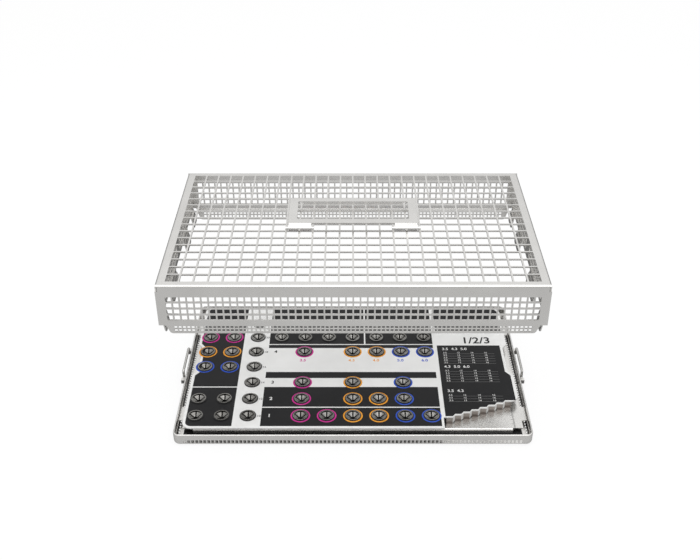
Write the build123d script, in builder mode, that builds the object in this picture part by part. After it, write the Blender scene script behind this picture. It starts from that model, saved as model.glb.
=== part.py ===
import os
from math import floor

from build123d import *

os.makedirs("parts", exist_ok=True)

# Instrument tray: a shallow perforated base, an insert with spring sockets that lifts out of it,
# and a perforated lid with a folding handle, drawn lifted off. Millimetres.
# X runs along the tray, the front is at -Y, Z is up, and the base stands on Z = 0.

# Sheets and clearances
sheet = 1.0
body_gap = 0.3
pin_gap = 0.05

# Lid
lid_length = 272.0
lid_depth = 170.0
lid_wall_height = 33.0
lid_lift = 101.6
lid_bend = 1.8
mesh_pitch = 10.0
mesh_bar = 1.25
mesh_border = 5.0
corner_slot_height = 4.8

# Rows of square holes in the lid's walls
wall_pitch = 5.0
wall_row_pitch = 5.1
wall_hole = 3.9
wall_rows = 4
wall_row_top = 11.3
wall_margin = 5.5
catch_plain = 14.0

# Skirt inside the lid, which nests into the base
skirt_sheet = 0.8
skirt_lap = 3.5
skirt_drop = 9.2
skirt_inset = 0.8
skirt_step = 1.2
skirt_taper = 1.4
skirt_corner_gap = 3.0
skirt_slant = 3.3
skirt_end_radius = 2.5
skirt_row_top = 3.3
skirt_hole_height = 2.0

# Small holes of the skirt and of the base
small_pitch = 3.045
small_hole = 2.1
small_margin = 1.2

# Base
base_height = 10.2
rim_proud = 1.0
rim_round = 0.7
base_bend = 3.0
base_corner = 5.0
base_row_height = 3.8
base_hole_height = 2.8
bend_hole_height = 1.2
floor_border = 1.0
mat_sheet = 0.5
mat_margin = 3.3
mat_hole = 5.0
mat_hole_pitch = 20.0

# Insert: a lower plate on folded flanges, and a printed upper plate above it
lower_top = 5.8
lower_length = 262.8
lower_depth = 148.4
flange_length = 246.4
flange_bend = 1.5
plate_space = 5.5
upper_length = 261.6
upper_depth = 160.2
upper_corner = 7.0
ear_reach = 0.6
ear_width = 15.6
ear_row = 55.8
ear_clearance = 2.0
shank_hole = 6.0

# Notches beside the latches
latch_y = 5.0
notch_length = 41.0
notch_depth = 3.8
notch_slope = 5.0

# Socket grid
grid_x = 20.3
grid_y = 20.25
front_row_y = -66.0
socket_rim = 11.5
socket_bore = 10.0
socket_wall = 0.4
socket_lip = 0.4
shank_gap = 3.0
petal_count = 6
petal_gap = 1.05
petal_sheet = 0.35
petal_top = 0.5
petal_fall = 1.7
grommet_rim = 12.8
grommet_lip = 0.5
grommet_wall = 0.45
cup_wall = 0.8
cup_depth = 4.6
cup_floor = 0.5
fit_gap = 0.05

# Comb of tabs along the slanting front edge of the upper plate
comb_tabs_count = 8
comb_first = (74.8, -67.6)
comb_step = (6.81, 2.7)
comb_tab_width = 4.9
comb_foot = 1.4
comb_web_drop = 4.8
plate_cut_x = 70.0

# Stand-offs and their screws
standoff_radius = 2.5
standoff_thread = 1.5
screw_radius = 1.4
screw_head_radius = 2.75
screw_head = 1.6
screw_length = 5.0

# Handle
handle_length = 97.0
handle_depth = 38.0
handle_front = -8.6
handle_side = 6.4
handle_near = 6.1
handle_back = 4.5
handle_sheet = 1.1
handle_top = 5.7
handle_corner = 1.2
grip_length = 76.8
grip_drop = 2.8
tab_length = 16.9
tab_inset = 0.5
tab_sheet = 1.4
knuckle_radius = 1.6
hinge_reach = 1.4
hinge_pin_radius = 0.9
hinge_height = 1.9
ear_sheet = 1.5
hinge_ear_radius = 1.7

# Latches
wire_radius = 1.0
wire_bend = 2.0
wire_span = 31.5
wire_stub = 5.8
wire_stand = 1.9
latch_pivot_z = 5.5
latch_rise = 6.8
bracket_length = 3.5
bracket_depth = 3.6
bracket_height = 3.4
catch_length = 22.0
catch_reach = 1.5
catch_height = 0.5

# Places worked out from the sizes above
lid_bottom = base_height + body_gap + lid_lift
lid_top = lid_bottom + lid_wall_height
base_length = lid_length + 2 * rim_proud
base_depth = lid_depth + 2 * rim_proud
mat_top = sheet + mat_sheet
upper_bottom = lower_top + plate_space
upper_top = upper_bottom + sheet
hinge_y = handle_front - hinge_reach
hinge_z = lid_top + hinge_height
wire_x = base_length / 2 + wire_stand
grommet_bore = socket_bore + 2 * socket_wall + 2 * fit_gap
plate_hole = grommet_bore + 2 * grommet_wall + 2 * fit_gap

# Sockets as (column, row) on the grid, column 0 on the tray's centre line and row 0 at the front
sockets = {
    "left": [(c, r) for r in (0, 1, 3, 4, 5, 6) for c in (-6, -5)],
    "middle": [(-4, r) for r in range(7)],
    "back": [(c, r) for r in (5, 6) for c in range(-3, 4)],
    "main": (
        [(c, 0) for c in (-2, -1, 0, 1, 2, 3)]
        + [(c, 1) for c in (-2, 0, 1, 2)]
        + [(c, 2) for c in (-2, 0, 2)]
        + [(c, 4) for c in (-2, 0, 1, 2, 3)]
    ),
}
standoff_grid = [(-5.5, 0.5), (-5.5, 5.5), (0.5, 0.5), (0.5, 5.5), (5.5, 5.5), (4.5, 1.5)]


def on_grid(places, z=0.0):
    return [(grid_x * c, front_row_y + grid_y * r, z) for c, r in places]


def copies(run, pitch, hole, margin):
    # how many holes fit along a run, with a margin at each end
    return floor((run - 2 * margin - hole) / pitch) + 1


def odd_copies(run, pitch, hole, margin):
    # the same for a row with a hole at its middle
    return 2 * floor((run / 2 - margin - hole / 2) / pitch) + 1


def keep(piece, name):
    piece.part.label = name
    export_step(piece.part, f"parts/{name}.step")


def turned(piece, angle):
    with BuildPart() as copy:
        add(piece.part.rotate(Axis.Z, angle))
    return copy


# Base

def base_section(outer):
    # wall with a rounded rim and a bend into the floor, outer face at -outer
    centre = (base_bend - outer, base_bend)
    rim_centre = (rim_round - outer, base_height - rim_round)
    with BuildSketch(Plane.YZ) as section:
        with BuildLine():
            CenterArc(centre, base_bend, 180, 90)
            CenterArc(centre, base_bend - sheet, 180, 90)
            Line((-outer, base_bend), (-outer, base_height - rim_round))
            CenterArc(rim_centre, rim_round, 90, 90)
            Polyline(
                (rim_round - outer, base_height),
                (sheet - outer, base_height),
                (sheet - outer, base_bend),
            )
            Polyline(
                (base_bend - outer, sheet),
                (base_corner - outer, sheet),
                (base_corner - outer, 0),
                (base_bend - outer, 0),
            )
        make_face()
    return section.sketch


def base_wall(outer, run):
    # the holes in the bend are staggered against those in the wall
    count = odd_copies(run, small_pitch, small_hole, small_margin)
    with BuildPart() as wall:
        extrude(base_section(outer), amount=run / 2, both=True)
        with BuildSketch(Plane.XZ.offset(outer)):
            with Locations((0, base_row_height)):
                with GridLocations(small_pitch, small_pitch, count, 1):
                    Rectangle(small_hole, base_hole_height)
        extrude(amount=-base_bend, mode=Mode.SUBTRACT)
        with BuildSketch():
            with Locations((0, base_bend / 2 - outer)):
                with GridLocations(small_pitch, small_pitch, count + 1, 1):
                    Rectangle(small_hole, base_bend)
        extrude(amount=bend_hole_height, mode=Mode.SUBTRACT)
    return wall


floor_length = base_length - 2 * base_corner
floor_depth = base_depth - 2 * base_corner
base_front_wall = base_wall(base_depth / 2, floor_length)
base_side_wall = base_wall(base_length / 2, floor_depth)
keep(base_front_wall, "base_front_wall")
keep(turned(base_front_wall, 180), "base_back_wall")
keep(turned(base_side_wall, 90), "base_right_wall")
keep(turned(base_side_wall, -90), "base_left_wall")

with BuildPart() as base_corner_piece:
    revolve(base_section(base_corner), axis=Axis.Z, revolution_arc=90)

with BuildPart() as base_corners:
    for right, back, angle in ((1, -1, 0), (1, 1, 90), (-1, 1, 180), (-1, -1, 270)):
        with Locations(Location((right * floor_length / 2, back * floor_depth / 2, 0), (0, 0, angle))):
            add(base_corner_piece.part)
keep(base_corners, "base_corners")


def mesh_count(length, border):
    return floor((length - 2 * border) / mesh_pitch)


# The four middle cells are left closed, so that the floor has a plain patch at its centre
with BuildPart() as base_floor:
    with BuildSketch():
        Rectangle(floor_length, floor_depth)
        columns = mesh_count(floor_length, floor_border)
        rows = mesh_count(floor_depth, floor_border)
        with GridLocations(mesh_pitch, mesh_pitch, columns, rows) as cells:
            open_cells = [
                cell
                for cell in cells.locations
                if max(abs(cell.position.X), abs(cell.position.Y)) > mesh_pitch
            ]
        with Locations(*open_cells):
            Rectangle(mesh_pitch - mesh_bar, mesh_pitch - mesh_bar, mode=Mode.SUBTRACT)
    extrude(amount=sheet)
keep(base_floor, "base_floor")

mat_length = base_length - 2 * (sheet + mat_margin + base_bend - sheet)
mat_depth = base_depth - 2 * (sheet + mat_margin + base_bend - sheet)
with BuildPart() as silicone_mat:
    with BuildSketch(Plane.XY.offset(sheet)):
        RectangleRounded(mat_length, mat_depth, base_corner - base_bend)
        holes_along = copies(mat_length, mat_hole_pitch, mat_hole, mat_hole)
        holes_across = copies(mat_depth, mat_hole_pitch, mat_hole, mat_hole)
        with GridLocations(mat_hole_pitch, mat_hole_pitch, holes_along, holes_across):
            Circle(mat_hole / 2, mode=Mode.SUBTRACT)
    extrude(amount=mat_sheet)
keep(silicone_mat, "silicone_mat")


# Insert

lower_bottom = lower_top - sheet
flange_foot = mat_top + body_gap

with BuildPart() as lower_plate:
    with BuildSketch(Plane.XY.offset(lower_bottom)):
        Rectangle(lower_length, lower_depth - 2 * flange_bend)
        for group in sockets.values():
            with Locations(*on_grid(group)):
                Circle(shank_hole / 2, mode=Mode.SUBTRACT)
        with Locations(*on_grid(standoff_grid)):
            Circle(screw_radius + pin_gap, mode=Mode.SUBTRACT)
    extrude(amount=sheet)
    for side, arc_start in ((-1, 90), (1, 0)):
        fold_y = side * (lower_depth / 2 - flange_bend)
        outer_y = side * lower_depth / 2
        fold_z = lower_top - flange_bend
        with BuildSketch(Plane.YZ):
            with BuildLine():
                CenterArc((fold_y, fold_z), flange_bend, arc_start, 90)
                CenterArc((fold_y, fold_z), flange_bend - sheet, arc_start, 90)
                Line((fold_y, lower_top), (fold_y, lower_bottom))
                Polyline(
                    (outer_y, fold_z),
                    (outer_y, flange_foot),
                    (outer_y - side * sheet, flange_foot),
                    (outer_y - side * sheet, fold_z),
                )
            make_face()
        extrude(amount=flange_length / 2, both=True)
keep(lower_plate, "lower_plate")

ear_tip = base_length / 2 - sheet - ear_reach
with BuildPart() as locating_ears:
    with BuildSketch(Plane.XY.offset(lower_bottom)):
        for side in (-1, 1):
            for end in (-1, 1):
                with Locations((side * (lower_length / 2 + ear_tip) / 2, end * ear_row)):
                    Rectangle(ear_tip - lower_length / 2, ear_width)
    extrude(amount=sheet)
keep(locating_ears, "locating_ears")

comb_places = [
    (comb_first[0] + comb_step[0] * k, comb_first[1] + comb_step[1] * k)
    for k in range(comb_tabs_count)
]
stair = []
for tab_x, tab_y in comb_places:
    stair.append((tab_x - comb_tab_width / 2, tab_y))
    stair.append((tab_x + comb_tab_width / 2, tab_y))

half_length = upper_length / 2
half_depth = upper_depth / 2
notch_outer = notch_length / 2
notch_inner = notch_outer - notch_slope
right_notch = [
    (half_length, latch_y - notch_outer),
    (half_length - notch_depth, latch_y - notch_inner),
    (half_length - notch_depth, latch_y + notch_inner),
    (half_length, latch_y + notch_outer),
]
left_notch = [(-x, y) for x, y in reversed(right_notch)]

with BuildPart() as upper_plate:
    with BuildSketch(Plane.XY.offset(upper_bottom)) as outline:
        with BuildLine():
            Polyline(
                (-half_length, -half_depth),
                (plate_cut_x, -half_depth),
                (plate_cut_x, comb_first[1]),
                *stair,
                (half_length, stair[-1][1]),
                *right_notch,
                (half_length, half_depth),
                (-half_length, half_depth),
                *left_notch,
                close=True,
            )
        make_face()
        corners = outline.vertices().filter_by(
            lambda v: abs(abs(v.X) - half_length) < fit_gap and abs(v.Y - latch_y) > notch_length / 2 + fit_gap
        )
        fillet(corners, upper_corner)
        for group in sockets.values():
            with Locations(*on_grid(group)):
                Circle(plate_hole / 2, mode=Mode.SUBTRACT)
    extrude(amount=sheet)
keep(upper_plate, "upper_plate")

with BuildPart() as comb_tabs:
    for tab_x, tab_y in comb_places:
        with BuildSketch(Plane.YZ.offset(tab_x)):
            with BuildLine():
                Polyline(
                    (tab_y + fit_gap, upper_bottom),
                    (tab_y + fit_gap, lower_top + sheet),
                    (tab_y - comb_foot, lower_top + sheet),
                    (tab_y - comb_foot, lower_top),
                    (tab_y + sheet, lower_top),
                    (tab_y + sheet, upper_bottom),
                    close=True,
                )
            make_face()
        extrude(amount=comb_tab_width / 2, both=True)
keep(comb_tabs, "comb_tabs")

# White webs join the tabs below the slanting stretches of the plate's edge
with BuildPart() as comb_webs:
    with BuildSketch(Plane.XY.offset(upper_bottom)):
        for start, end in zip(stair[1:-1:2], stair[2::2]):
            with BuildLine():
                Polyline(start, end, (end[0], end[1] + sheet), (start[0], start[1] + sheet), close=True)
            make_face()
    extrude(amount=-comb_web_drop)
keep(comb_webs, "comb_webs")

with BuildPart() as standoffs:
    with Locations(*on_grid(standoff_grid, lower_top)):
        Cylinder(standoff_radius, plate_space, align=(Align.CENTER, Align.CENTER, Align.MIN))
        Cylinder(
            standoff_thread,
            screw_length,
            align=(Align.CENTER, Align.CENTER, Align.MIN),
            mode=Mode.SUBTRACT,
        )
keep(standoffs, "standoffs")

with BuildPart() as insert_screw:
    Cylinder(screw_head_radius, screw_head, align=(Align.CENTER, Align.CENTER, Align.MAX))
    Cylinder(
        screw_radius,
        sheet + screw_length - body_gap,
        align=(Align.CENTER, Align.CENTER, Align.MIN),
    )
    fillet(insert_screw.edges().group_by(Axis.Z)[0], screw_head / 3)

with BuildPart() as insert_screws:
    with Locations(*on_grid(standoff_grid, lower_bottom)):
        add(insert_screw.part)
keep(insert_screws, "insert_screws")

with BuildPart() as grommet:
    with BuildSketch(Plane.XZ):
        with BuildLine():
            inner = grommet_bore / 2
            neck = inner + grommet_wall
            cup_bottom = -sheet - cup_depth
            Polyline(
                (inner, grommet_lip),
                (grommet_rim / 2, grommet_lip),
                (grommet_rim / 2, 0),
                (neck, 0),
                (neck, -sheet),
                (inner + cup_wall, -sheet),
                (inner + cup_wall, cup_bottom),
                (shank_gap / 2, cup_bottom),
                (shank_gap / 2, cup_bottom + cup_floor),
                (inner, cup_bottom + cup_floor),
                close=True,
            )
        make_face()
    revolve(axis=Axis.Z)

# A ring with a conical washer in it, which six slots part into petals
with BuildPart() as spring_socket:
    with BuildSketch(Plane.XZ):
        with BuildLine():
            inner = socket_bore / 2
            outer = inner + socket_wall
            rim_top = grommet_lip + socket_lip
            petal_bottom = -petal_top - petal_sheet
            Polyline(
                (inner, rim_top),
                (socket_rim / 2, rim_top),
                (socket_rim / 2, grommet_lip),
                (outer, grommet_lip),
                (outer, petal_bottom),
                (inner, petal_bottom),
                (shank_gap / 2, petal_bottom - petal_fall),
                (shank_gap / 2, -petal_top - petal_fall),
                (inner, -petal_top),
                close=True,
            )
        make_face()
    revolve(axis=Axis.Z)
    with BuildSketch(Plane.XY.offset(petal_bottom - petal_fall)):
        with PolarLocations(socket_bore / 4, petal_count, start_angle=180 / petal_count):
            Rectangle(socket_bore / 2, petal_gap)
    extrude(amount=petal_fall + 2 * petal_sheet, mode=Mode.SUBTRACT)

for group, places in sockets.items():
    with BuildPart() as grommets:
        with Locations(*on_grid(places, upper_top)):
            add(grommet.part)
    keep(grommets, f"grommets_{group}")
    with BuildPart() as spring_sockets:
        with Locations(*on_grid(places, upper_top)):
            add(spring_socket.part)
    keep(spring_sockets, f"spring_sockets_{group}")


# Lid

def lid_wall(outer, run, slot_top, slot_width, plain_y=None):
    # wall with its bend into the top sheet, outer face at -outer, perforated in rows,
    # with a slot at each end that starts slot_top below the lid's top
    count = copies(run, wall_pitch, wall_hole, wall_margin - sheet)
    bend_centre = (lid_bend - outer, lid_top - lid_bend)
    with BuildPart() as wall:
        with BuildSketch(Plane.YZ):
            with BuildLine():
                CenterArc(bend_centre, lid_bend, 90, 90)
                CenterArc(bend_centre, lid_bend - sheet, 90, 90)
                Line((lid_bend - outer, lid_top), (lid_bend - outer, lid_top - sheet))
                Polyline(
                    (-outer, lid_top - lid_bend),
                    (-outer, lid_bottom),
                    (sheet - outer, lid_bottom),
                    (sheet - outer, lid_top - lid_bend),
                )
            make_face()
        extrude(amount=run / 2, both=True)
        with BuildSketch(Plane.XZ.offset(outer)):
            row_middle = lid_top - wall_row_top - wall_row_pitch * (wall_rows - 1) / 2
            with Locations((0, row_middle)):
                with GridLocations(wall_pitch, wall_row_pitch, count, wall_rows) as holes:
                    places = [
                        hole
                        for hole in holes.locations
                        if plain_y is None or abs(hole.position.X - plain_y) > catch_plain / 2
                    ]
            with Locations(*places):
                Rectangle(wall_hole, wall_hole)
        extrude(amount=-2 * sheet, mode=Mode.SUBTRACT)
        with BuildSketch(Plane.XY.offset(lid_top - slot_top)):
            with GridLocations(run - slot_width, 1, 2, 1):
                with Locations((0, lid_bend - outer)):
                    Rectangle(slot_width, 2 * lid_bend)
        extrude(amount=slot_top - corner_slot_height, mode=Mode.SUBTRACT)
    return wall


lid_front_wall = lid_wall(lid_depth / 2, lid_length, sheet, lid_bend)
keep(lid_front_wall, "lid_front_wall")
keep(turned(lid_front_wall, 180), "lid_back_wall")
side_run = lid_depth - 2 * sheet
side_slot = lid_bend - sheet
keep(turned(lid_wall(lid_length / 2, side_run, 0, side_slot, latch_y), 90), "lid_right_wall")
keep(turned(lid_wall(lid_length / 2, side_run, 0, side_slot, -latch_y), -90), "lid_left_wall")

# One corner cell at the back is left closed as a small blank plate
with BuildPart() as lid_grille:
    with BuildSketch(Plane.XY.offset(lid_top - sheet)):
        Rectangle(lid_length - 2 * lid_bend, lid_depth - 2 * lid_bend)
        columns = mesh_count(lid_length, mesh_border)
        rows = mesh_count(lid_depth, mesh_border)
        with GridLocations(mesh_pitch, mesh_pitch, columns, rows) as cells:
            back_left = min(cells.locations, key=lambda cell: cell.position.X - cell.position.Y)
            open_cells = [cell for cell in cells.locations if cell is not back_left]
        with Locations(*open_cells):
            Rectangle(mesh_pitch - mesh_bar, mesh_pitch - mesh_bar, mode=Mode.SUBTRACT)
    extrude(amount=sheet)
keep(lid_grille, "lid_grille")


skirt_reach = sheet + skirt_inset + skirt_taper + 2 * skirt_sheet


def skirt_strip(outer, start, end, slant=0.0):
    # one strip of the skirt, welded inside a wall whose outer face is at -outer
    face = sheet - outer
    run = end - start
    skirt_bottom = lid_bottom - skirt_drop
    count = odd_copies(run, small_pitch, small_hole, small_margin + slant)
    outside = [
        (face, lid_bottom + skirt_lap),
        (face, lid_bottom + skirt_step / 2),
        (face + skirt_inset, lid_bottom - skirt_step / 2),
        (face + skirt_inset + skirt_taper, skirt_bottom),
    ]
    inside = [(y + skirt_sheet, z) for y, z in reversed(outside)]
    with BuildPart() as strip:
        with BuildSketch(Plane.YZ.offset(start)):
            with BuildLine():
                Polyline(*outside, *inside, close=True)
            make_face()
        extrude(amount=run)
        if slant:
            with BuildSketch(Plane.XZ.offset(outer)):
                for edge, inward in ((start, slant), (end, -slant)):
                    with BuildLine():
                        Polyline((edge, lid_bottom), (edge + inward, skirt_bottom), (edge, skirt_bottom), close=True)
                    make_face()
            extrude(amount=-skirt_reach, mode=Mode.SUBTRACT)
        lowest = strip.edges().filter_by(Axis.Y).group_by(Axis.Z)[0]
        fillet(lowest, skirt_end_radius)
        with BuildSketch(Plane.XZ.offset(outer)):
            with Locations(((start + end) / 2, lid_bottom - skirt_row_top - small_pitch / 2)):
                with GridLocations(small_pitch, small_pitch, count, 2):
                    Rectangle(small_hole, skirt_hole_height)
        extrude(amount=-skirt_reach, mode=Mode.SUBTRACT)
    return strip


skirt_end_x = lid_length / 2 - sheet - skirt_corner_gap
skirt_end_y = lid_depth / 2 - sheet - skirt_corner_gap
skirt_front = skirt_strip(lid_depth / 2, -skirt_end_x, skirt_end_x, skirt_slant)
keep(skirt_front, "skirt_front")
keep(turned(skirt_front, 180), "skirt_back")

# The side skirts stop at the latches and at the ears of the insert
ear_near = ear_row - ear_width / 2 - ear_clearance
ear_far = ear_row + ear_width / 2 + ear_clearance
side_stretches = [
    (-skirt_end_y, -ear_far),
    (-ear_near, latch_y - notch_outer),
    (latch_y + notch_outer, ear_near),
    (ear_far, skirt_end_y),
]
for name, angle, sign in (("skirt_right", 90, 1), ("skirt_left", -90, -1)):
    with BuildPart() as side_skirt:
        for near, far in side_stretches:
            low, high = sorted((sign * near, sign * far))
            add(skirt_strip(lid_length / 2, low, high).part.rotate(Axis.Z, angle))
    keep(side_skirt, name)

for name, side in (("lid_catch_right", 1), ("lid_catch_left", -1)):
    with BuildPart() as catch:
        with Locations((side * (lid_length + catch_reach) / 2, latch_y, lid_bottom + catch_height / 2)):
            Box(catch_reach, catch_length, catch_height)
        chamfer(catch.edges().filter_by(Axis.Y).group_by(Axis.X)[-1 if side > 0 else 0], catch_height / 3)
    keep(catch, name)


# Handle, folded flat on the lid

handle_middle_y = handle_front + handle_depth / 2
tab_far_x = handle_length / 2 - tab_inset
tab_near_x = tab_far_x - tab_length
handle_z = lid_top + handle_top
window_length = handle_length - 2 * handle_side
window_depth = handle_depth - handle_near - handle_back
window_back = handle_front + handle_depth - handle_back

with BuildPart() as handle_frame:
    with BuildSketch(Plane.XY.offset(handle_z)):
        with Locations((0, handle_middle_y)):
            RectangleRounded(handle_length, handle_depth, handle_corner)
        with Locations((0, window_back - window_depth / 2)):
            RectangleRounded(window_length, window_depth, handle_corner, mode=Mode.SUBTRACT)
    extrude(amount=-handle_sheet)
    with Locations((0, window_back, handle_z)):
        Box(grip_length, handle_sheet, grip_drop, align=(Align.CENTER, Align.MIN, Align.MAX))
    for side in (-1, 1):
        tab_middle = side * (tab_near_x + tab_far_x) / 2
        with BuildSketch(Plane.YZ.offset(tab_middle)):
            with Locations((hinge_y, hinge_z)):
                Circle(knuckle_radius)
            with BuildLine():
                Polyline(
                    (hinge_y - knuckle_radius, hinge_z),
                    (handle_front, handle_z),
                    (handle_front + tab_sheet, handle_z),
                    (hinge_y - knuckle_radius + tab_sheet, hinge_z),
                    close=True,
                )
            make_face()
        extrude(amount=tab_length / 2, both=True)
    with BuildSketch(Plane.YZ):
        with Locations((hinge_y, hinge_z)):
            Circle(hinge_pin_radius + pin_gap)
    extrude(amount=handle_length, both=True, mode=Mode.SUBTRACT)
keep(handle_frame, "handle_frame")

# A pair of ears stands on the lid's bars at the ends of each tab, with a pin through both
outer_ear_x = handle_length / 2 + body_gap + ear_sheet / 2
inner_ear_x = tab_near_x - body_gap - ear_sheet / 2
with BuildPart() as hinge_ears:
    for ear_x in (-outer_ear_x, -inner_ear_x, inner_ear_x, outer_ear_x):
        with BuildSketch(Plane.YZ.offset(ear_x)):
            with Locations((hinge_y, hinge_z)):
                Circle(hinge_ear_radius)
            with Locations((hinge_y, lid_top)):
                Rectangle(2 * hinge_ear_radius, hinge_height, align=(Align.CENTER, Align.MIN))
            with Locations((hinge_y, hinge_z)):
                Circle(hinge_pin_radius + pin_gap / 2, mode=Mode.SUBTRACT)
        extrude(amount=ear_sheet / 2, both=True)
keep(hinge_ears, "hinge_ears")

with BuildPart() as hinge_pins:
    pin_inner = inner_ear_x - ear_sheet / 2
    pin_outer = outer_ear_x + ear_sheet / 2
    for side in (-1, 1):
        with BuildSketch(Plane.YZ.offset(side * (pin_inner + pin_outer) / 2)):
            with Locations((hinge_y, hinge_z)):
                Circle(hinge_pin_radius)
        extrude(amount=(pin_outer - pin_inner) / 2, both=True)
keep(hinge_pins, "hinge_pins")


# Latches: a bent wire on each side, its ends turning in two brackets on the base

bracket_start = wire_span / 2 + wire_bend + body_gap
for name, side in (("right", 1), ("left", -1)):
    pivot_x = side * wire_x
    with BuildPart() as latch_brackets:
        for end in (-1, 1):
            with BuildSketch(Plane.XZ.offset(-latch_y - end * (bracket_start + bracket_length / 2))):
                with Locations((side * (base_length + bracket_depth) / 2, latch_pivot_z)):
                    Rectangle(bracket_depth, bracket_height)
                with Locations((pivot_x, latch_pivot_z)):
                    Circle(wire_radius + pin_gap, mode=Mode.SUBTRACT)
            extrude(amount=bracket_length / 2, both=True)
    keep(latch_brackets, f"latch_brackets_{name}")

    wire_end = wire_span / 2 + wire_stub
    wire_top = latch_pivot_z + latch_rise
    with BuildPart() as latch_wire:
        with BuildLine() as wire_path:
            FilletPolyline(
                (pivot_x, latch_y - wire_end, latch_pivot_z),
                (pivot_x, latch_y - wire_span / 2, latch_pivot_z),
                (pivot_x, latch_y - wire_span / 2, wire_top),
                (pivot_x, latch_y + wire_span / 2, wire_top),
                (pivot_x, latch_y + wire_span / 2, latch_pivot_z),
                (pivot_x, latch_y + wire_end, latch_pivot_z),
                radius=wire_bend,
            )
        with BuildSketch(Plane(origin=wire_path.line @ 0, z_dir=wire_path.line % 0)):
            Circle(wire_radius)
        sweep()
    keep(latch_wire, f"latch_wire_{name}")
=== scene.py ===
import bpy
import bmesh
import math
from mathutils import Matrix, Vector


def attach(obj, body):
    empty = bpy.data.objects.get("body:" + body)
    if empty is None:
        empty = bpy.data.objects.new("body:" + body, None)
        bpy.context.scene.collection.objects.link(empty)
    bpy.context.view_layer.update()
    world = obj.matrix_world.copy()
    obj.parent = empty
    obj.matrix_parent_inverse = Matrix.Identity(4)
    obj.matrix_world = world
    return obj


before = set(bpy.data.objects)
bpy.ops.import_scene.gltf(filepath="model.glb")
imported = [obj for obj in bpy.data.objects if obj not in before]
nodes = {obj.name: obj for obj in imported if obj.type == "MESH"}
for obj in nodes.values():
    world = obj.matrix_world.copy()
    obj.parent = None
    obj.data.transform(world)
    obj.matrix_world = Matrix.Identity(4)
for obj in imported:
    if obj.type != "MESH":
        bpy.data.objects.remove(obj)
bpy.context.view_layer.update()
mm = 0.001
print("frame loaded:", len(nodes), "nodes")


# Stage: camera, studio light, pale floor

studio = {
    "cameraPlace": (-2.25, -632.5, 507.9),
    "cameraPitch": 56.83,
    "focalPixels": 964.6,
    "imageWidth": 700,
    "sensorWidth": 36.0,
    "floorSize": 4.0,
    "floorBounce": 0.50,
    "shadowShare": 0.15,
    "cardEdge": -0.09,
    "cardBlend": 0.03,
    "cardFront": 0.60,
    "cardBehind": 0.10,
    "skyTop": 0.95,
    "skyHorizon": 0.30,
    "skyBelow": 0.20,
    "softboxPlace": (0.1, -0.2, 1.2),
    "softboxAim": (0, 0, 0),
    "softboxSize": 1.1,
    "softboxWatts": 5.0,
    "fillPlace": (-0.9, -0.9, 0.7),
    "fillAim": (0, 0, 0.05),
    "fillSize": 0.8,
    "fillWatts": 1.0,
}


def makeCamera(s):
    camData = bpy.data.cameras.new("photoCamera")
    camData.sensor_width = s["sensorWidth"]
    camData.lens = s["focalPixels"] / s["imageWidth"] * s["sensorWidth"]
    camData.clip_start = 0.01
    cam = bpy.data.objects.new("photoCamera", camData)
    cam.location = Vector(s["cameraPlace"]) * mm
    cam.rotation_euler = (math.radians(s["cameraPitch"]), 0, 0)
    bpy.context.scene.collection.objects.link(cam)
    bpy.context.scene.camera = cam


def addAreaLight(name, place, aim, size, watts):
    lightData = bpy.data.lights.new(name, "AREA")
    lightData.shape = "SQUARE"
    lightData.size = size
    lightData.energy = watts
    light = bpy.data.objects.new(name, lightData)
    light.location = place
    light.rotation_euler = (Vector(aim) - Vector(place)).to_track_quat("-Z", "Y").to_euler()
    bpy.context.scene.collection.objects.link(light)


def makeWorld(s):
    world = bpy.data.worlds.new("studioSky")
    bpy.context.scene.world = world
    world.use_nodes = True
    tree = world.node_tree
    tree.nodes.clear()
    output = tree.nodes.new("ShaderNodeOutputWorld")
    coords = tree.nodes.new("ShaderNodeTexCoord")
    split = tree.nodes.new("ShaderNodeSeparateXYZ")
    ramp = tree.nodes.new("ShaderNodeValToRGB")
    toUnit = tree.nodes.new("ShaderNodeMapRange")
    toUnit.inputs["From Min"].default_value = -1.0
    tree.links.new(coords.outputs["Generated"], split.inputs[0])
    tree.links.new(split.outputs["Z"], toUnit.inputs["Value"])
    tree.links.new(toUnit.outputs[0], ramp.inputs["Fac"])
    levels = [(0.0, s["skyBelow"]), (0.5, s["skyHorizon"]), (0.8, s["skyTop"])]
    ramp.color_ramp.elements.new(0.5)
    for element, (place, level) in zip(ramp.color_ramp.elements, levels):
        element.position = place
        element.color = (level, level, level, 1)
    lit = tree.nodes.new("ShaderNodeBackground")
    white = tree.nodes.new("ShaderNodeBackground")
    white.inputs["Strength"].default_value = 1.0
    white.inputs["Color"].default_value = (1, 1, 1, 1)
    tree.links.new(ramp.outputs["Color"], lit.inputs["Color"])
    path = tree.nodes.new("ShaderNodeLightPath")
    mix = tree.nodes.new("ShaderNodeMixShader")
    tree.links.new(path.outputs["Is Camera Ray"], mix.inputs["Fac"])
    tree.links.new(lit.outputs[0], mix.inputs[1])
    tree.links.new(white.outputs[0], mix.inputs[2])
    tree.links.new(mix.outputs[0], output.inputs["Surface"])


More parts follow.
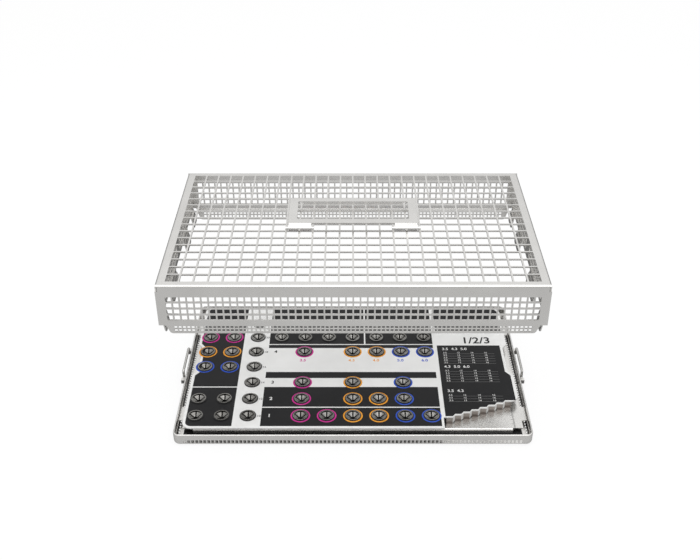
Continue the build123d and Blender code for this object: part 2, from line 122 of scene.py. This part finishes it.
def makeFloor(s):
    half = s["floorSize"] / 2
    mesh = bpy.data.meshes.new("floor")
    corners = [(-half, -half, 0), (half, -half, 0), (half, half, 0), (-half, half, 0)]
    mesh.from_pydata(corners, [], [(0, 1, 2, 3)])
    floor = bpy.data.objects.new("floor", mesh)
    bpy.context.scene.collection.objects.link(floor)
    material = bpy.data.materials.new("paleFloor")
    material.use_nodes = True
    tree = material.node_tree
    tree.nodes.clear()
    output = tree.nodes.new("ShaderNodeOutputMaterial")
    diffuse = tree.nodes.new("ShaderNodeBsdfDiffuse")
    glow = tree.nodes.new("ShaderNodeEmission")
    path = tree.nodes.new("ShaderNodeLightPath")
    level = tree.nodes.new("ShaderNodeMapRange")     # white to the eye, grey to the light that bounces
    level.inputs["To Min"].default_value = s["floorBounce"]
    tree.links.new(path.outputs["Is Camera Ray"], level.inputs["Value"])
    tree.links.new(level.outputs[0], diffuse.inputs["Color"])
    coords = tree.nodes.new("ShaderNodeTexCoord")
    split = tree.nodes.new("ShaderNodeSeparateXYZ")
    card = tree.nodes.new("ShaderNodeMapRange")     # steel mirrors a pale card in front, dark behind
    card.inputs["From Min"].default_value = s["cardEdge"]
    card.inputs["From Max"].default_value = s["cardEdge"] + s["cardBlend"]
    card.inputs["To Min"].default_value = s["cardFront"]
    card.inputs["To Max"].default_value = s["cardBehind"]
    tree.links.new(coords.outputs["Object"], split.inputs[0])
    tree.links.new(split.outputs["Y"], card.inputs["Value"])
    strength = tree.nodes.new("ShaderNodeMix")
    strength.inputs["B"].default_value = 1.0
    tree.links.new(path.outputs["Is Camera Ray"], strength.inputs["Factor"])
    tree.links.new(card.outputs[0], strength.inputs["A"])
    tree.links.new(strength.outputs["Result"], glow.inputs["Strength"])
    seen = tree.nodes.new("ShaderNodeMath")
    seen.operation = "MAXIMUM"
    tree.links.new(path.outputs["Is Camera Ray"], seen.inputs[0])
    tree.links.new(path.outputs["Is Glossy Ray"], seen.inputs[1])
    share = tree.nodes.new("ShaderNodeMath")
    share.operation = "MULTIPLY"
    share.inputs[1].default_value = 1 - s["shadowShare"]
    mix = tree.nodes.new("ShaderNodeMixShader")
    tree.links.new(seen.outputs[0], share.inputs[0])
    tree.links.new(share.outputs[0], mix.inputs["Fac"])
    tree.links.new(diffuse.outputs[0], mix.inputs[1])
    tree.links.new(glow.outputs[0], mix.inputs[2])
    tree.links.new(mix.outputs[0], output.inputs["Surface"])
    mesh.materials.append(material)


makeCamera(studio)
makeWorld(studio)
makeFloor(studio)
for name in ("softbox", "fill"):
    place, aim, size, watts = (studio[name + part] for part in ("Place", "Aim", "Size", "Watts"))
    addAreaLight(name, place, aim, size, watts)
bpy.context.scene.view_settings.view_transform = "Standard"
print("stage set")


# Materials

def makeGrainGroup():
    # broad blotches and fine grain of a sheet
    group = bpy.data.node_groups.new("sheetGrain", "ShaderNodeTree")
    sockets = group.interface
    for name in ("Blotch Scale", "Grain Scale", "Grain Amount"):
        sockets.new_socket(name, in_out="INPUT", socket_type="NodeSocketFloat")
    sockets.new_socket("Blotches", in_out="OUTPUT", socket_type="NodeSocketFloat")
    sockets.new_socket("Grain", in_out="OUTPUT", socket_type="NodeSocketFloat")
    n = group.nodes
    link = group.links.new
    given = n.new("NodeGroupInput")
    made = n.new("NodeGroupOutput")
    coords = n.new("ShaderNodeTexCoord")
    blotch = n.new("ShaderNodeTexNoise")
    blotch.inputs["Detail"].default_value = 3.0
    link(coords.outputs["Object"], blotch.inputs["Vector"])
    link(given.outputs["Blotch Scale"], blotch.inputs["Scale"])
    grain = n.new("ShaderNodeTexNoise")
    grain.inputs["Detail"].default_value = 2.0
    link(coords.outputs["Object"], grain.inputs["Vector"])
    link(given.outputs["Grain Scale"], grain.inputs["Scale"])
    scaled = n.new("ShaderNodeMath")
    scaled.operation = "MULTIPLY"
    link(grain.outputs["Fac"], scaled.inputs[0])
    link(given.outputs["Grain Amount"], scaled.inputs[1])
    link(blotch.outputs["Fac"], made.inputs["Blotches"])
    link(scaled.outputs[0], made.inputs["Grain"])
    return group


sheetGrain = makeGrainGroup()


def ramped(tree, source, low, high, fromMin=0.3, fromMax=0.7):
    # spreads a mask between two numbers
    spread = tree.nodes.new("ShaderNodeMapRange")
    spread.inputs["From Min"].default_value = fromMin
    spread.inputs["From Max"].default_value = fromMax
    spread.inputs["To Min"].default_value = low
    spread.inputs["To Max"].default_value = high
    tree.links.new(source, spread.inputs["Value"])
    return spread.outputs[0]


plainLook = {
    "blotchScale": 45.0,
    "grainScale": 900.0,
    "grainAmount": 1.0,
    "relief": 0.1,
    "reliefDepth": 0.05 * mm,
    "metal": 0.0,
    "specular": 0.5,
}


def makeFinish(name, ownLook):
    # one opaque finish: two close colours over the blotches, roughness and relief from the grain
    look = {**plainLook, **ownLook}
    material = bpy.data.materials.new(name)
    material.use_nodes = True
    tree = material.node_tree
    shader = tree.nodes["Principled BSDF"]
    grain = tree.nodes.new("ShaderNodeGroup")
    grain.node_tree = sheetGrain
    grain.inputs["Blotch Scale"].default_value = look["blotchScale"]
    grain.inputs["Grain Scale"].default_value = look["grainScale"]
    grain.inputs["Grain Amount"].default_value = look["grainAmount"]
    tone = tree.nodes.new("ShaderNodeMix")
    tone.data_type = "RGBA"
    tone.inputs["A"].default_value = (*look["dark"], 1)
    tone.inputs["B"].default_value = (*look["light"], 1)
    tree.links.new(ramped(tree, grain.outputs["Blotches"], 0.0, 1.0), tone.inputs["Factor"])
    tree.links.new(tone.outputs["Result"], shader.inputs["Base Color"])
    tree.links.new(
        ramped(tree, grain.outputs["Grain"], look["smooth"], look["rough"]),
        shader.inputs["Roughness"],
    )
    bump = tree.nodes.new("ShaderNodeBump")
    bump.inputs["Strength"].default_value = look["relief"]
    bump.inputs["Distance"].default_value = look["reliefDepth"]
    tree.links.new(grain.outputs["Grain"], bump.inputs["Height"])
    tree.links.new(bump.outputs["Normal"], shader.inputs["Normal"])
    shader.inputs["Metallic"].default_value = look["metal"]
    shader.inputs["Specular IOR Level"].default_value = look["specular"]
    return material


finishes = {
    "satinSteel": {
        "dark": (0.76, 0.75, 0.73), "light": (0.82, 0.81, 0.79), "metal": 1.0,
        "smooth": 0.24, "rough": 0.32, "grainScale": 700.0, "relief": 0.02,
    },
    # dark brown copy of the satin steel for the comb tabs: painted shade on their front faces under the
    # plate's edge
    "combSteelPaintedShade": {
        "dark": (0.30, 0.27, 0.25), "light": (0.38, 0.35, 0.33), "metal": 1.0,
        "smooth": 0.30, "rough": 0.42, "relief": 0.12,
    },
    "greyInk": {
        "dark": (0.20, 0.20, 0.20), "light": (0.26, 0.26, 0.26), "smooth": 0.40, "rough": 0.50,
    },
    "brightSteel": {
        "dark": (0.62, 0.62, 0.61), "light": (0.72, 0.72, 0.71), "metal": 1.0,
        "smooth": 0.18, "rough": 0.30, "grainScale": 1200.0, "relief": 0.05,
    },
    "wireSteel": {
        "dark": (0.55, 0.54, 0.52), "light": (0.64, 0.63, 0.61), "metal": 1.0,
        "smooth": 0.20, "rough": 0.32, "grainScale": 1500.0, "relief": 0.05,
    },
    "plateWhite": {
        "dark": (0.80, 0.80, 0.79), "light": (0.86, 0.86, 0.85),
        "smooth": 0.40, "rough": 0.50, "relief": 0.05,
    },
    "charcoalInk": {
        "dark": (0.011, 0.011, 0.012), "light": (0.014, 0.014, 0.015),
        "smooth": 0.38, "rough": 0.48, "relief": 0.02, "specular": 0.18,
    },
    "socketSteel": {
        "dark": (0.20, 0.195, 0.185), "light": (0.34, 0.335, 0.32), "metal": 1.0,
        "smooth": 0.20, "rough": 0.34, "grainScale": 1200.0, "relief": 0.05,
    },
    "magentaInk": {
        "dark": (0.58, 0.012, 0.26), "light": (0.66, 0.018, 0.31), "smooth": 0.35, "rough": 0.45,
    },
    "orangeInk": {
        "dark": (0.84, 0.32, 0.012), "light": (0.92, 0.38, 0.02), "smooth": 0.35, "rough": 0.45,
    },
    "blueInk": {
        "dark": (0.012, 0.07, 0.50), "light": (0.018, 0.09, 0.58), "smooth": 0.35, "rough": 0.45,
    },
    # black of the silicone grommets; on silicone_mat the same black is painted shade, a dark sheet over
    # the floor where it lies in shade under the plates
    "blackSiliconeAndPaintedShade": {
        "dark": (0.008, 0.008, 0.008), "light": (0.014, 0.014, 0.014),
        "smooth": 0.50, "rough": 0.65, "relief": 0.15,
    },
}
materials = {name: makeFinish(name, look) for name, look in finishes.items()}
print("finishes mixed:", len(materials))


def paintNode(name, material):
    node = nodes[name]
    for slot in node.material_slots:
        slot.material = materials[material]
    if not node.material_slots:
        node.data.materials.append(materials[material])


nodeFinish = {
    "satinSteel": (
        "base_floor", "base_front_wall", "base_back_wall", "base_left_wall", "base_right_wall",
        "base_corners", "latch_brackets_left", "latch_brackets_right", "lower_plate", "locating_ears",
        "lid_grille", "lid_front_wall", "lid_back_wall", "lid_left_wall", "lid_right_wall",
        "skirt_front", "skirt_back", "skirt_left", "skirt_right", "lid_catch_left", "lid_catch_right",
        "hinge_ears", "handle_frame",
    ),
    "brightSteel": ("standoffs", "insert_screws", "hinge_pins"),
    "socketSteel": (
        "spring_sockets_left", "spring_sockets_middle", "spring_sockets_back", "spring_sockets_main",
    ),
    "wireSteel": ("latch_wire_left", "latch_wire_right"),
    # the comb tabs get the darker steel copy, which is painted shade
    "combSteelPaintedShade": ("comb_tabs",),
    "plateWhite": ("upper_plate", "comb_webs"),
    # silicone_mat is a black sheet that stands for the shade on the floor under the plates (painted
    # shade); the grommets are really black silicone
    "blackSiliconeAndPaintedShade": (
        "silicone_mat", "grommets_left", "grommets_middle", "grommets_back", "grommets_main",
    ),
}
for material, names in nodeFinish.items():
    for name in names:
        paintNode(name, material)
print("steel, silicone and plate painted")


# Print on the upper plate, in millimetres on the tray's axes

plate = {
    "top": 12.3,
    "halfLength": 130.8,
    "halfDepth": 80.1,
    "corner": 7.0,
    "notchY": 5.0,
    "notchHalf": 20.5,
    "notchWiden": 1.0,
    "notchSlope": 5.0,
    "notchDepth": 3.8,
    "holeRadius": 5.95,
    "holeSides": 40,
    "border": 2.2,
    "inkSheet": 0.05,
}
grid = {"x": 20.3, "y": 20.25, "frontRow": -66.0}
combFirst = (74.8, -67.6)
combStep = (6.81, 2.7)
combTabs = 8
combTabWidth = 4.9
combBorder = 1.1

# Edges of the printed panels as seen from above, with the front lowest
layout = {
    "leftBlockRight": -92.8,
    "leftFrontTop": -31.9,
    "leftBackLow": -30.7,
    "mainLeft": -71.0,
    "mainRight": 68.1,
    "backLow": 25.9,
    "backGapLeft": 9.7,
    "backGapRight": 10.9,
    "infoLeft": 71.5,
    "infoTop": 23.9,
    "rightBackLow": 45.0,
}
mainRows = {
    "mainFrontInk": (plate["border"] - plate["halfDepth"], -56.6),
    "mainMiddleInk": (-55.4, -31.3),
    "mainStripInk": (-19.9, -12.1),
    "mainRowInk": (20.3, 24.7),
}

socketPlaces = (
    [(c, r) for r in (0, 1, 3, 4, 5, 6) for c in (-6, -5)]
    + [(-4, r) for r in range(7)]
    + [(c, r) for r in (5, 6) for c in range(-3, 4)]
    + [(c, 0) for c in (-2, -1, 0, 1, 2, 3)]
    + [(c, 1) for c in (-2, 0, 1, 2)]
    + [(c, 2) for c in (-2, 0, 2)]
    + [(c, 4) for c in (-2, 0, 1, 2, 3)]
)


def onGrid(place):
    return (grid["x"] * place[0], grid["frontRow"] + grid["y"] * place[1])


def circlePoints(centre, radius, sides):
    turn = 2 * math.pi / sides
    return [
        (centre[0] + radius * math.cos(turn * k), centre[1] + radius * math.sin(turn * k))
        for k in range(sides)
    ]


def finishedMesh(obj, name):
    # the evaluated object as a plain mesh object of its own
    graph = bpy.context.evaluated_depsgraph_get()
    mesh = bpy.data.meshes.new_from_object(obj.evaluated_get(graph), depsgraph=graph)
    piece = bpy.data.objects.new(name, mesh)
    bpy.context.scene.collection.objects.link(piece)
    bpy.data.objects.remove(obj)
    return piece


def flatInk(name, outlines, height, material, thickness=plate["inkSheet"]):
    # closed flat shapes with their holes, lying at a height
    curve = bpy.data.curves.new(name, "CURVE")
    curve.dimensions = "2D"
    curve.fill_mode = "BOTH"
    curve.extrude = thickness / 2 * mm
    for outline in outlines:
        spline = curve.splines.new("POLY")
        spline.points.add(len(outline) - 1)
        for point, (x, y) in zip(spline.points, outline):
            point.co = (x * mm, y * mm, 0, 1)
        spline.use_cyclic_u = True
    draft = bpy.data.objects.new(name, curve)
    bpy.context.scene.collection.objects.link(draft)
    piece = finishedMesh(draft, name)
    piece.data.transform(Matrix.Translation((0, 0, (height + thickness / 2) * mm)))
    piece.data.materials.clear()
    piece.data.materials.append(materials[material])
    return piece


def onInsert(piece):
    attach(piece, "insert")


def holesIn(outline):
    # a hole for each socket whose centre is inside the outline's bounding box
    across = [x for x, _ in outline]
    along = [y for _, y in outline]
    centres = [onGrid(place) for place in socketPlaces]
    return [
        circlePoints((x, y), plate["holeRadius"], plate["holeSides"])
        for x, y in centres
        if min(across) < x < max(across) and min(along) < y < max(along)
    ]


def box(left, right, front, back):
    return [(left, front), (right, front), (right, back), (left, back)]


edgeX = plate["halfLength"] - plate["border"]
edgeY = plate["halfDepth"] - plate["border"]
innerCorner = plate["corner"] - plate["border"]
cornerX = edgeX - innerCorner
cornerY = edgeY - innerCorner
cornerSteps = 6
notchX = edgeX - plate["notchDepth"]
notchLow = plate["notchY"] - plate["notchHalf"] - plate["notchWiden"]
notchHigh = plate["notchY"] + plate["notchHalf"] + plate["notchWiden"]
slope = plate["notchSlope"]


def roundedCorner(centre, start):
    # a quarter turn anticlockwise from the start angle
    turns = [math.radians(start + 90 * k / cornerSteps) for k in range(cornerSteps + 1)]
    return [
        (centre[0] + innerCorner * math.cos(turn), centre[1] + innerCorner * math.sin(turn))
        for turn in turns
    ]


leftFrontPanel = [
    *roundedCorner((-cornerX, -cornerY), 180),
    (layout["leftBlockRight"], -edgeY),
    (layout["leftBlockRight"], layout["leftFrontTop"]),
    (-edgeX, layout["leftFrontTop"]),
]
leftBackPanel = [
    (-edgeX, layout["leftBackLow"]),
    (layout["leftBlockRight"], layout["leftBackLow"]),
    (layout["leftBlockRight"], edgeY),
    *roundedCorner((-cornerX, cornerY), 90),
    (-edgeX, notchHigh),
    (-notchX, notchHigh - slope),
    (-notchX, notchLow + slope),
    (-edgeX, notchLow),
]
rightBackPanel = [
    (layout["infoLeft"], layout["rightBackLow"]),
    (edgeX, layout["rightBackLow"]),
    *roundedCorner((cornerX, cornerY), 0),
    (layout["infoLeft"], edgeY),
]
stairPoints = []
for k in range(combTabs):
    tabX = combFirst[0] + combStep[0] * k
    tabY = combFirst[1] + combStep[1] * k + combBorder
    stairPoints += [(tabX - combTabWidth / 2, tabY), (tabX + combTabWidth / 2, tabY)]
infoPanel = [
    (layout["infoLeft"], layout["infoTop"]),
    (layout["infoLeft"], stairPoints[0][1]),
    *stairPoints,
    (edgeX, stairPoints[-1][1]),
    (edgeX, notchLow),
    (notchX, notchLow + slope),
    (notchX, layout["infoTop"] - slope),
    (notchX, layout["infoTop"]),
]

inkPanels = {
    "leftFrontInk": leftFrontPanel,
    "leftBackInk": leftBackPanel,
    **{
        name: box(layout["mainLeft"], layout["mainRight"], front, back)
        for name, (front, back) in mainRows.items()
    },
    "backLeftInk": box(layout["mainLeft"], layout["backGapLeft"], layout["backLow"], edgeY),
    "backRightInk": box(layout["backGapRight"], layout["mainRight"], layout["backLow"], edgeY),
    "infoInk": infoPanel,
    "rightBackInk": rightBackPanel,
}
for name, outline in inkPanels.items():
    onInsert(flatInk(name, [outline, *holesIn(outline)], plate["top"], "charcoalInk"))
print("print panels laid:", len(inkPanels))


# Coloured rings round the sockets and ruler ticks on the lower plate, by Geometry Nodes

ringSides = 48


def addInput(tree, name, kind, value):
    socket = tree.interface.new_socket(name, in_out="INPUT", socket_type=kind)
    socket.default_value = value
    return socket.identifier


def makeRingTree():
    tree = bpy.data.node_groups.new("ringsOnPoints", "GeometryNodeTree")
    tree.interface.new_socket("Geometry", in_out="INPUT", socket_type="NodeSocketGeometry")
    lengths = ("Middle Radius", "Band", "Thickness")
    ids = {name: addInput(tree, name, "NodeSocketFloat", mm) for name in lengths}
    ids["Material"] = tree.interface.new_socket(
        "Material", in_out="INPUT", socket_type="NodeSocketMaterial"
    ).identifier
    tree.interface.new_socket("Geometry", in_out="OUTPUT", socket_type="NodeSocketGeometry")
    n = tree.nodes
    link = tree.links.new
    given = n.new("NodeGroupInput")
    circle = n.new("GeometryNodeCurvePrimitiveCircle")
    circle.inputs["Resolution"].default_value = ringSides
    link(given.outputs["Middle Radius"], circle.inputs["Radius"])
    profile = n.new("GeometryNodeCurvePrimitiveQuadrilateral")
    link(given.outputs["Band"], profile.inputs["Width"])
    link(given.outputs["Thickness"], profile.inputs["Height"])
    swept = n.new("GeometryNodeCurveToMesh")
    link(circle.outputs["Curve"], swept.inputs["Curve"])
    link(profile.outputs["Curve"], swept.inputs["Profile Curve"])
    placed = n.new("GeometryNodeInstanceOnPoints")
    link(given.outputs["Geometry"], placed.inputs["Points"])
    link(swept.outputs["Mesh"], placed.inputs["Instance"])
    real = n.new("GeometryNodeRealizeInstances")
    link(placed.outputs["Instances"], real.inputs["Geometry"])
    painted = n.new("GeometryNodeSetMaterial")
    link(real.outputs["Geometry"], painted.inputs["Geometry"])
    link(given.outputs["Material"], painted.inputs["Material"])
    made = n.new("NodeGroupOutput")
    link(painted.outputs["Geometry"], made.inputs["Geometry"])
    return tree, ids


def makeTickTree():
    tree = bpy.data.node_groups.new("rowOfTicks", "GeometryNodeTree")
    tree.interface.new_socket("Geometry", in_out="INPUT", socket_type="NodeSocketGeometry")
    ids = {
        "Count": addInput(tree, "Count", "NodeSocketInt", 10),
        "Start": addInput(tree, "Start", "NodeSocketVector", (0, 0, 0)),
        "Step": addInput(tree, "Step", "NodeSocketVector", (0, mm, 0)),
        "Size": addInput(tree, "Size", "NodeSocketVector", (mm, mm, mm)),
    }
    ids["Material"] = tree.interface.new_socket(
        "Material", in_out="INPUT", socket_type="NodeSocketMaterial"
    ).identifier
    tree.interface.new_socket("Geometry", in_out="OUTPUT", socket_type="NodeSocketGeometry")
    n = tree.nodes
    link = tree.links.new
    given = n.new("NodeGroupInput")
    row = n.new("GeometryNodeMeshLine")
    link(given.outputs["Count"], row.inputs["Count"])
    link(given.outputs["Start"], row.inputs["Start Location"])
    link(given.outputs["Step"], row.inputs["Offset"])
    tick = n.new("GeometryNodeMeshCube")
    link(given.outputs["Size"], tick.inputs["Size"])
    placed = n.new("GeometryNodeInstanceOnPoints")
    link(row.outputs["Mesh"], placed.inputs["Points"])
    link(tick.outputs["Mesh"], placed.inputs["Instance"])
    real = n.new("GeometryNodeRealizeInstances")
    link(placed.outputs["Instances"], real.inputs["Geometry"])
    painted = n.new("GeometryNodeSetMaterial")
    link(real.outputs["Geometry"], painted.inputs["Geometry"])
    link(given.outputs["Material"], painted.inputs["Material"])
    made = n.new("NodeGroupOutput")
    link(painted.outputs["Geometry"], made.inputs["Geometry"])
    return tree, ids


def runTree(name, points, tree, ids, values):
    # the tree's result on a mesh of loose points, as a plain mesh object
    seed = bpy.data.meshes.new(name)
    seed.from_pydata([tuple(c * mm for c in point) for point in points], [], [])
    draft = bpy.data.objects.new(name, seed)
    bpy.context.scene.collection.objects.link(draft)
    modifier = draft.modifiers.new("nodes", "NODES")
    modifier.node_group = tree
    for key, value in values.items():
        modifier[ids[key]] = value
    return finishedMesh(draft, name)


ringTree, ringIds = makeRingTree()
ringColours = {
    "magentaInk": [(-5, 5), (-6, 5), (-2, 4), (-2, 2), (-2, 1), (-2, 0), (-1, 0)],
    "orangeInk": [(-5, 4), (-6, 4), (0, 4), (1, 4), (0, 2), (0, 1), (1, 1), (0, 0), (1, 0)],
    "blueInk": [(-5, 3), (-6, 3), (2, 4), (3, 4), (2, 2), (2, 1), (2, 0), (3, 0)],
}
ringOuter = 7.65
ringInner = 6.0
ringSheet = 0.12
for material, places in ringColours.items():
    centres = [(*onGrid(place), plate["top"] + ringSheet / 2) for place in places]
    rings = runTree(material.replace("Ink", "Rings"), centres, ringTree, ringIds, {
        "Middle Radius": (ringOuter + ringInner) / 2 * mm,
        "Band": (ringOuter - ringInner) * mm,
        "Thickness": ringSheet * mm,
        "Material": materials[material],
    })
    onInsert(rings)

tickTree, tickIds = makeTickTree()
lowerTop = 5.8
ruler = {"start": -73.0, "lift": 0.02, "width": 0.28, "sheet": 0.04}
rulerRows = {
    "fineTicks": {"x": 125.0, "length": 1.4, "count": 24, "step": 1.0},
    "longTicks": {"x": 124.3, "length": 2.8, "count": 5, "step": 5.0},
}
for name, row in rulerRows.items():
    ticks = runTree(name, [(0, 0, 0)], tickTree, tickIds, {
        "Count": row["count"],
        "Start": (row["x"] * mm, ruler["start"] * mm, (lowerTop + ruler["lift"]) * mm),
        "Step": (0, row["step"] * mm, 0),
        "Size": (row["length"] * mm, ruler["width"] * mm, ruler["sheet"] * mm),
        "Material": materials["charcoalInk"],
    })
    onInsert(ticks)
print("rings and ticks made")


# Plain numbers and rules. Sizes, line steps and boldness are in millimetres

numberSheet = 0.02
numberLift = 0.08
infoLayout = {
    "headingX": 75.5, "headingSize": 4.4, "headingBold": 0.06,
    "firstX": 76.0, "columnStep": 11.5, "size": 2.6,
    "firstLine": 4.6, "lineStep": 3.3,
    "rulesRight": 119.0, "firstRule": 5.2, "ruleWidth": 0.18, "ruleLift": 0.05, "ruleSheet": 0.03,
}
middleLayout = {"right": 6.9, "down": 1.2, "size": 3.0}
rowLayout = {"x": -66.0, "down": 1.5, "size": 5.0, "bold": 0.1}
header = {"words": "1/2/3", "x": 93.0, "y": 27.0, "size": 12.0, "bold": 0.2}
sizeLayout = {"left": 3.6, "down": 13.0, "size": 4.4, "bold": 0.08}


def numberMesh(words, x, y, size, bold=0.0):
    text = bpy.data.curves.new("numbers", "FONT")
    text.body = words
    text.size = size * mm
    text.offset = bold * mm
    text.extrude = numberSheet * mm
    draft = bpy.data.objects.new("numbers", text)
    bpy.context.scene.collection.objects.link(draft)
    piece = finishedMesh(draft, "numbers")
    piece.data.transform(Matrix.Translation((x * mm, y * mm, (plate["top"] + numberLift) * mm)))
    return piece


def joined(name, pieces, material):
    built = bmesh.new()
    for piece in pieces:
        built.from_mesh(piece.data)
        bpy.data.objects.remove(piece)
    mesh = bpy.data.meshes.new(name)
    built.to_mesh(mesh)
    built.free()
    mesh.materials.append(materials[material])
    whole = bpy.data.objects.new(name, mesh)
    bpy.context.scene.collection.objects.link(whole)
    return whole


infoHeadings = [(17.5, "3.5  4.3  5.0", 5), (-6.5, "4.3  5.0  6.0", 5), (-37.5, "3.5  4.3", 3)]


def infoTable(lay):
    pieces = []
    for top, heading, rows in infoHeadings:
        pieces.append(numberMesh(heading, lay["headingX"], top, lay["headingSize"], lay["headingBold"]))
        for row in range(rows):
            y = top - lay["firstLine"] - lay["lineStep"] * row
            for column, words in enumerate(("3.5", "12", "14", "16")):
                x = lay["firstX"] + lay["columnStep"] * column
                pieces.append(numberMesh(words, x, y, lay["size"]))
    return pieces


def infoRules(lay):
    outlines = []
    for top, _, rows in infoHeadings:
        for row in range(rows):
            y = top - lay["firstRule"] - lay["lineStep"] * row
            outlines.append(box(lay["headingX"], lay["rulesRight"], y, y + lay["ruleWidth"]))
    return outlines


onInsert(joined("infoNumbers", infoTable(infoLayout), "plateWhite"))
ruleHeight = plate["top"] + infoLayout["ruleLift"]
rules = flatInk("infoRules", infoRules(infoLayout), ruleHeight, "greyInk", infoLayout["ruleSheet"])
onInsert(rules)

# Numbers beside the column of seven sockets
middleColumn = -4
middleNumbers = []
for row in range(7):
    x, y = onGrid((middleColumn, row))
    right, down = x + middleLayout["right"], y - middleLayout["down"]
    middleNumbers.append(numberMesh(str(10 + 2 * row), right, down, middleLayout["size"]))
onInsert(joined("middleNumbers", middleNumbers, "charcoalInk"))

# Row numbers beside the main block, and a large number on the header strip
rowNumbers = {
    "plateWhite": [("1", 0), ("2", 1)],
    "charcoalInk": [("3", 2), ("4", 4)],
}
for material, labels in rowNumbers.items():
    pieces = []
    for words, row in labels:
        y = onGrid((0, row))[1] - rowLayout["down"]
        pieces.append(numberMesh(words, rowLayout["x"], y, rowLayout["size"], rowLayout["bold"]))
    if material == "charcoalInk":
        pieces.append(numberMesh(**header))
    onInsert(joined(material.replace("Ink", "") + "RowNumbers", pieces, material))

# Size numbers under the main block's long row
sizeRow = 4
sizeNumbers = {
    "magentaInk": [("3.5", -2)],
    "orangeInk": [("4.3", 0), ("4.0", 1)],
    "blueInk": [("5.0", 2), ("6.0", 3)],
}
for material, labels in sizeNumbers.items():
    pieces = []
    for words, column in labels:
        x, y = onGrid((column, sizeRow))
        left, down = x - sizeLayout["left"], y - sizeLayout["down"]
        pieces.append(numberMesh(words, left, down, sizeLayout["size"], sizeLayout["bold"]))
    onInsert(joined(material.replace("Ink", "SizeNumbers"), pieces, material))
print("numbers and rules printed")
